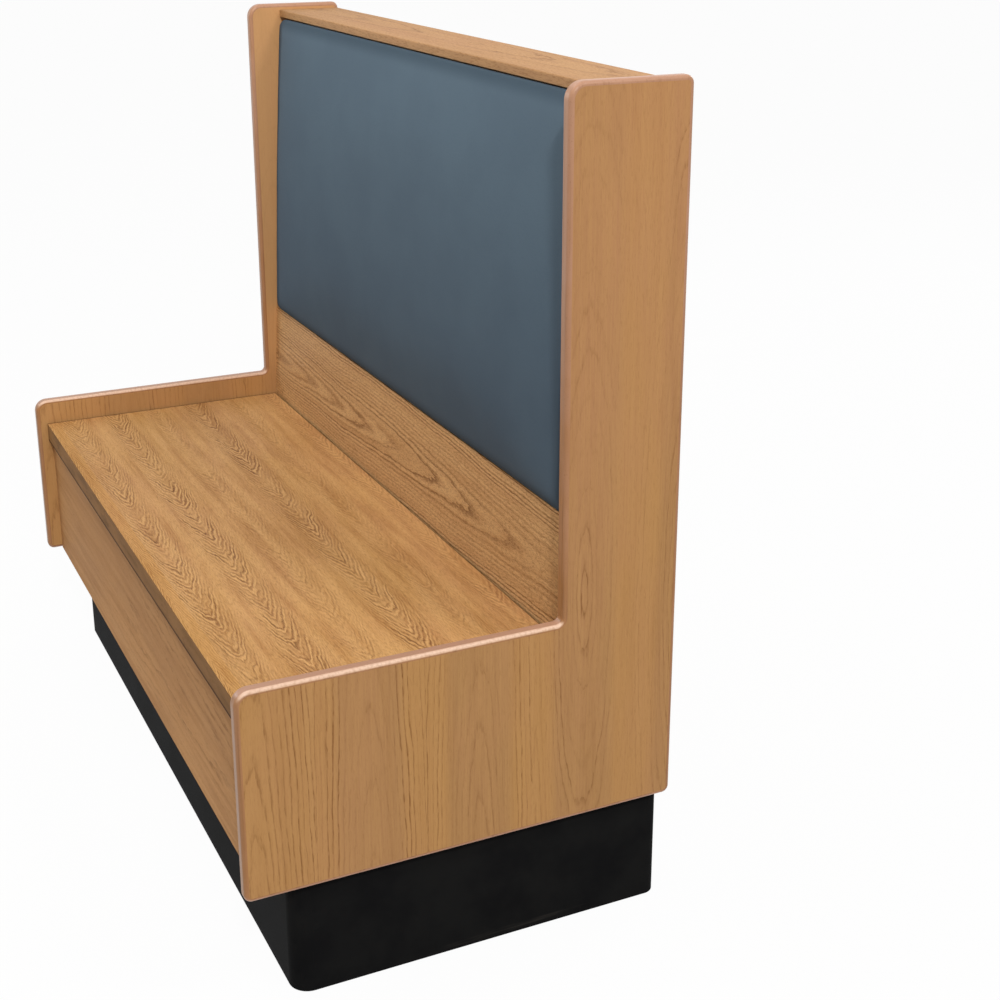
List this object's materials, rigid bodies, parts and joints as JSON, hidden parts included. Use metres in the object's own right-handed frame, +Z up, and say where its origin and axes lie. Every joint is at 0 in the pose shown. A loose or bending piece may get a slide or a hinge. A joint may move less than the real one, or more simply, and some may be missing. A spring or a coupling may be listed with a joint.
{
  "type": "restaurant booth seating",
  "caption": "Single wall booth: L-shaped oak ends, raked upholstered back pad, lift-out oak seat and a recessed black toe-kick base.",
  "frame": {"origin": "on the floor, in the middle of the booth's plan", "axes": "+X along the seat towards a sitter's left hand, +Y from the seat's front edge to the back, +Z up"},
  "size_m": [1.219, 0.591, 1.118],
  "materials": {
    "oak_panel": "oak veneered plywood, vertical grain, satin lacquer",
    "edge_moulding": "tan moulded edge strip with a tongue, satin",
    "oak_seat": "planked oak veneer, grain along the seat, satin lacquer",
    "oak_nosing": "solid oak nosing, satin lacquer",
    "oak_front": "oak veneered plywood, satin lacquer",
    "oak_back": "oak veneer with cathedral figure, satin lacquer",
    "oak_cap": "oak cap board, satin lacquer",
    "oak_rear": "oak veneered rear panel, satin lacquer",
    "back_vinyl": "slate blue upholstery vinyl over foam",
    "black_wrap": "black satin wrap round the toe-kick",
    "plywood": "bare birch plywood",
    "softwood": "bare planed softwood",
    "bracket_steel": "zinc plated steel angle",
    "screw_steel": "zinc plated countersunk screws"
  },
  "bodies": {
    "carcass": {"back_cushion": "back_vinyl", "back_lower_panel": "oak_back", "back_nogging_1": "softwood", "back_nogging_2": "softwood", "back_nogging_3": "softwood", "back_pad_board": "plywood", "back_rib_1": "plywood", "back_rib_2": "plywood", "back_rib_3": "plywood", "back_rib_4": "plywood", "back_top_plate": "softwood", "base_corner_block_1": "softwood", "base_corner_block_2": "softwood", "base_corner_block_3": "softwood", "base_corner_block_4": "softwood", "base_cross_left": "plywood", "base_cross_right": "plywood", "base_end_left": "plywood", "base_end_right": "plywood", "base_front": "plywood", "base_rear": "plywood", "bottom_deck": "plywood", "bracket_screws": "screw_steel", "cap_screws": "screw_steel", "cleat_screws_left": "screw_steel", "cleat_screws_right": "screw_steel", "corner_cleat_left": "softwood", "corner_cleat_right": "softwood", "deck_screws": "screw_steel", "edge_moulding_left": "edge_moulding", "edge_moulding_right": "edge_moulding", "end_panel_left": "oak_panel", "end_panel_right": "oak_panel", "floor_bracket_1": "bracket_steel", "floor_bracket_2": "bracket_steel", "floor_bracket_3": "bracket_steel", "floor_bracket_4": "bracket_steel", "pad_screws": "screw_steel", "rear_panel": "oak_rear", "rear_panel_screws": "screw_steel", "seat_cleat_left": "softwood", "seat_cleat_right": "softwood", "seat_front_panel": "oak_front", "seat_front_rail": "softwood", "seat_rear_rail": "softwood", "seat_rib_left": "plywood", "seat_rib_right": "plywood", "toe_kick_wrap": "black_wrap", "top_cap": "oak_cap"},
    "seat": {"seat_board": "oak_seat", "seat_nosing": "oak_nosing", "seat_batten_left": "softwood", "seat_batten_right": "softwood", "seat_screws": "screw_steel"}
  },
  "joints": [
    {"name": "seat_lift", "type": "slide", "parent": "carcass", "child": "seat", "axis": [0, 0, 1], "range_m": [0, 0.15]}
  ]
}
